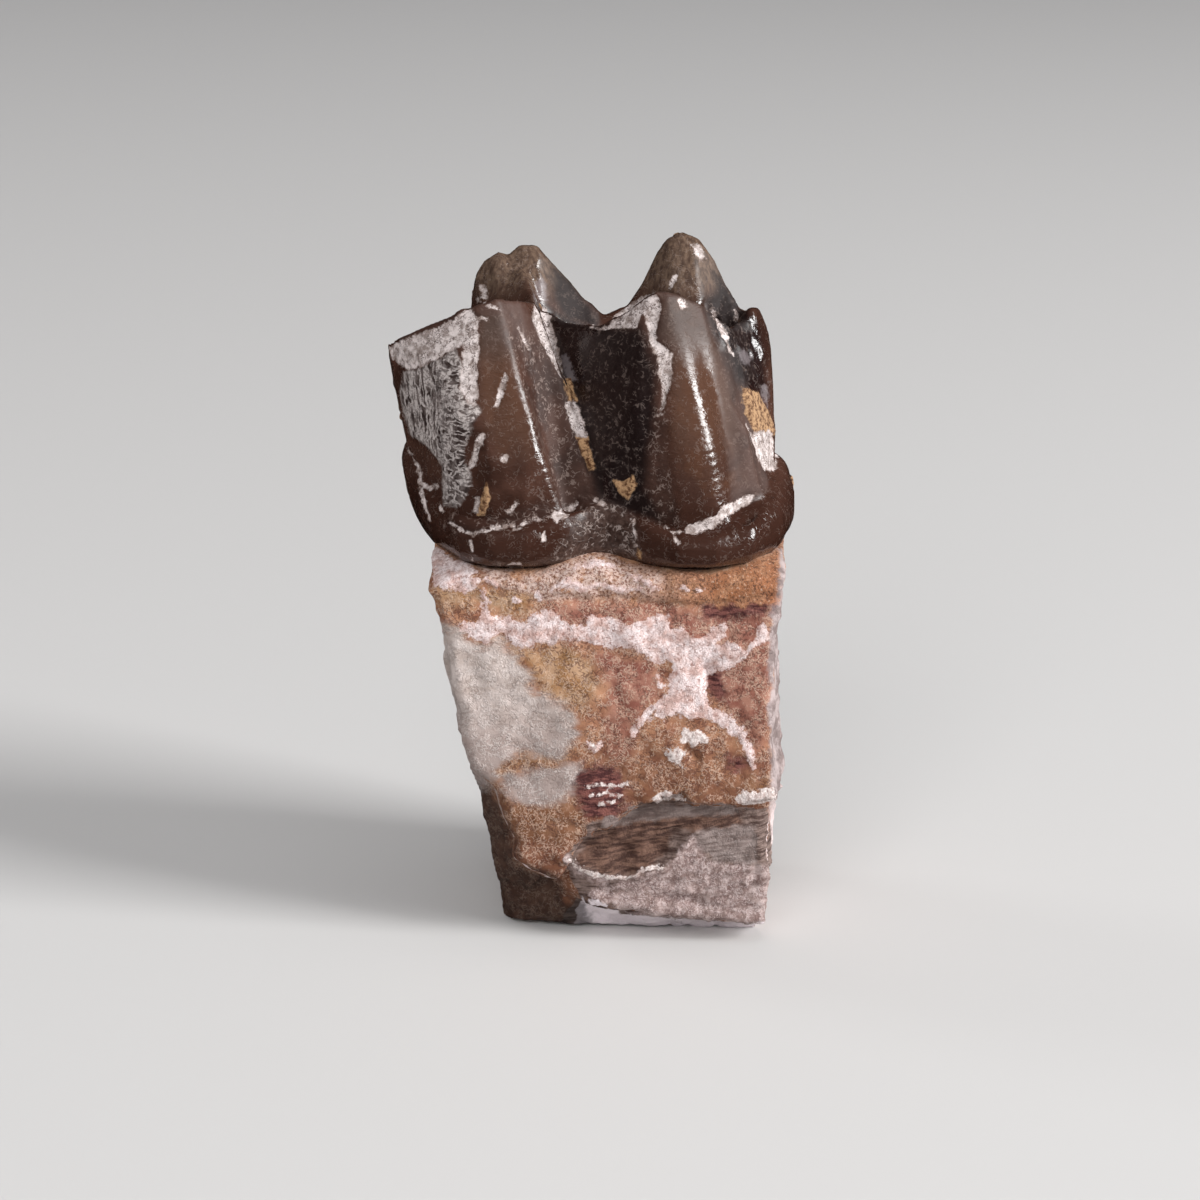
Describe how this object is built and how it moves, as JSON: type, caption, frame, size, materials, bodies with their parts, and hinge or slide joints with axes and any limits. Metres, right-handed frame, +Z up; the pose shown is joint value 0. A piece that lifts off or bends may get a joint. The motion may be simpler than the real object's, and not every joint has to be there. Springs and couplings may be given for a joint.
{
  "type": "fossil jaw fragment with a molar",
  "caption": "Upright fragment of fossil oreodont jaw bone, broken on all sides, with a glossy two-lobed cheek tooth standing in it.",
  "frame": {"origin": "centre of the object's footprint, at the height of the broken base that it stands on", "axes": "+Z up, from the broken base to the cusps; -Y out of the cheek side, +Y out of the tongue side; +X to the right of someone who looks at the cheek side"},
  "size_m": [0.0168, 0.0118, 0.0287],
  "materials": {
    "bone": "matt, grainy mineralised bone: ochre, rust and pinkish-white crust in patches, grey where the outer layer is smooth",
    "enamel": "glossy dark brown fossil enamel with chalky white chips along the crests and a fine frosting in the hollows"
  },
  "bodies": {
    "root": {"jaw_bone": "bone", "molar": "enamel"}
  },
  "joints": []
}
